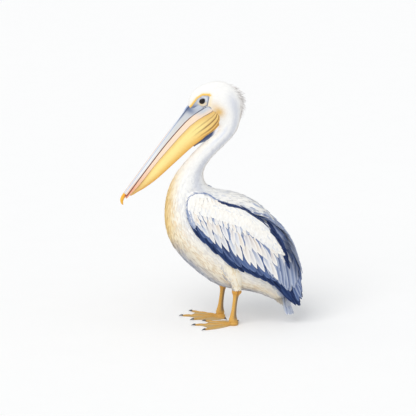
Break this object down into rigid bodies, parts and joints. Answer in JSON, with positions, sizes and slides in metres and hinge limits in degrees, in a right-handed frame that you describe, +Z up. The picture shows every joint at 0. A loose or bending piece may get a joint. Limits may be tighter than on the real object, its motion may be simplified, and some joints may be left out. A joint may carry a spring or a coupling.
{
  "type": "great white pelican, still life-size model",
  "caption": "White pelican standing at rest with its neck drawn back, long bill lowered over its breast and wings folded, as a still model that stands on its webbed feet.",
  "frame": {"origin": "on the floor under the middle of the bounding box, in the bird's plane of symmetry", "axes": "+Z up, the bird faces -X with its bill, its left side is -Y"},
  "size_m": [0.7121, 0.2805, 0.958],
  "materials": {
    "plumage": "matt white feathers, cream and ochre on the breast",
    "flight_feather": "matt slate-blue to navy flight feathers",
    "bill_horn": "satin horn, blue-grey ridge and pink sides",
    "bill_nail": "satin yellow-orange horn",
    "pouch_skin": "satin yellow-orange bare skin",
    "leg_skin": "satin ochre scaled skin and web",
    "claw_horn": "dark satin horn",
    "eye": "polished dark brown"
  },
  "bodies": {
    "root": {"head": "plumage", "crest": "plumage", "neck_upper": "plumage", "neck_middle": "plumage", "neck_lower": "plumage", "trunk": "plumage", "tail": "plumage", "thigh_left": "plumage", "thigh_right": "plumage", "wing_left_coverts": "plumage", "wing_right_coverts": "plumage", "wing_left_secondaries": "flight_feather", "wing_right_secondaries": "flight_feather", "wing_left_primaries": "flight_feather", "wing_right_primaries": "flight_feather", "upper_bill": "bill_horn", "lower_bill": "bill_horn", "bill_nail": "bill_nail", "pouch": "pouch_skin", "eye_left": "eye", "eye_right": "eye", "shank_left": "leg_skin", "shank_right": "leg_skin", "foot_left": "leg_skin", "foot_right": "leg_skin", "claw_left_outer": "claw_horn", "claw_left_middle": "claw_horn", "claw_left_inner": "claw_horn", "claw_left_hallux": "claw_horn", "claw_right_outer": "claw_horn", "claw_right_middle": "claw_horn", "claw_right_inner": "claw_horn", "claw_right_hallux": "claw_horn"}
  },
  "joints": []
}
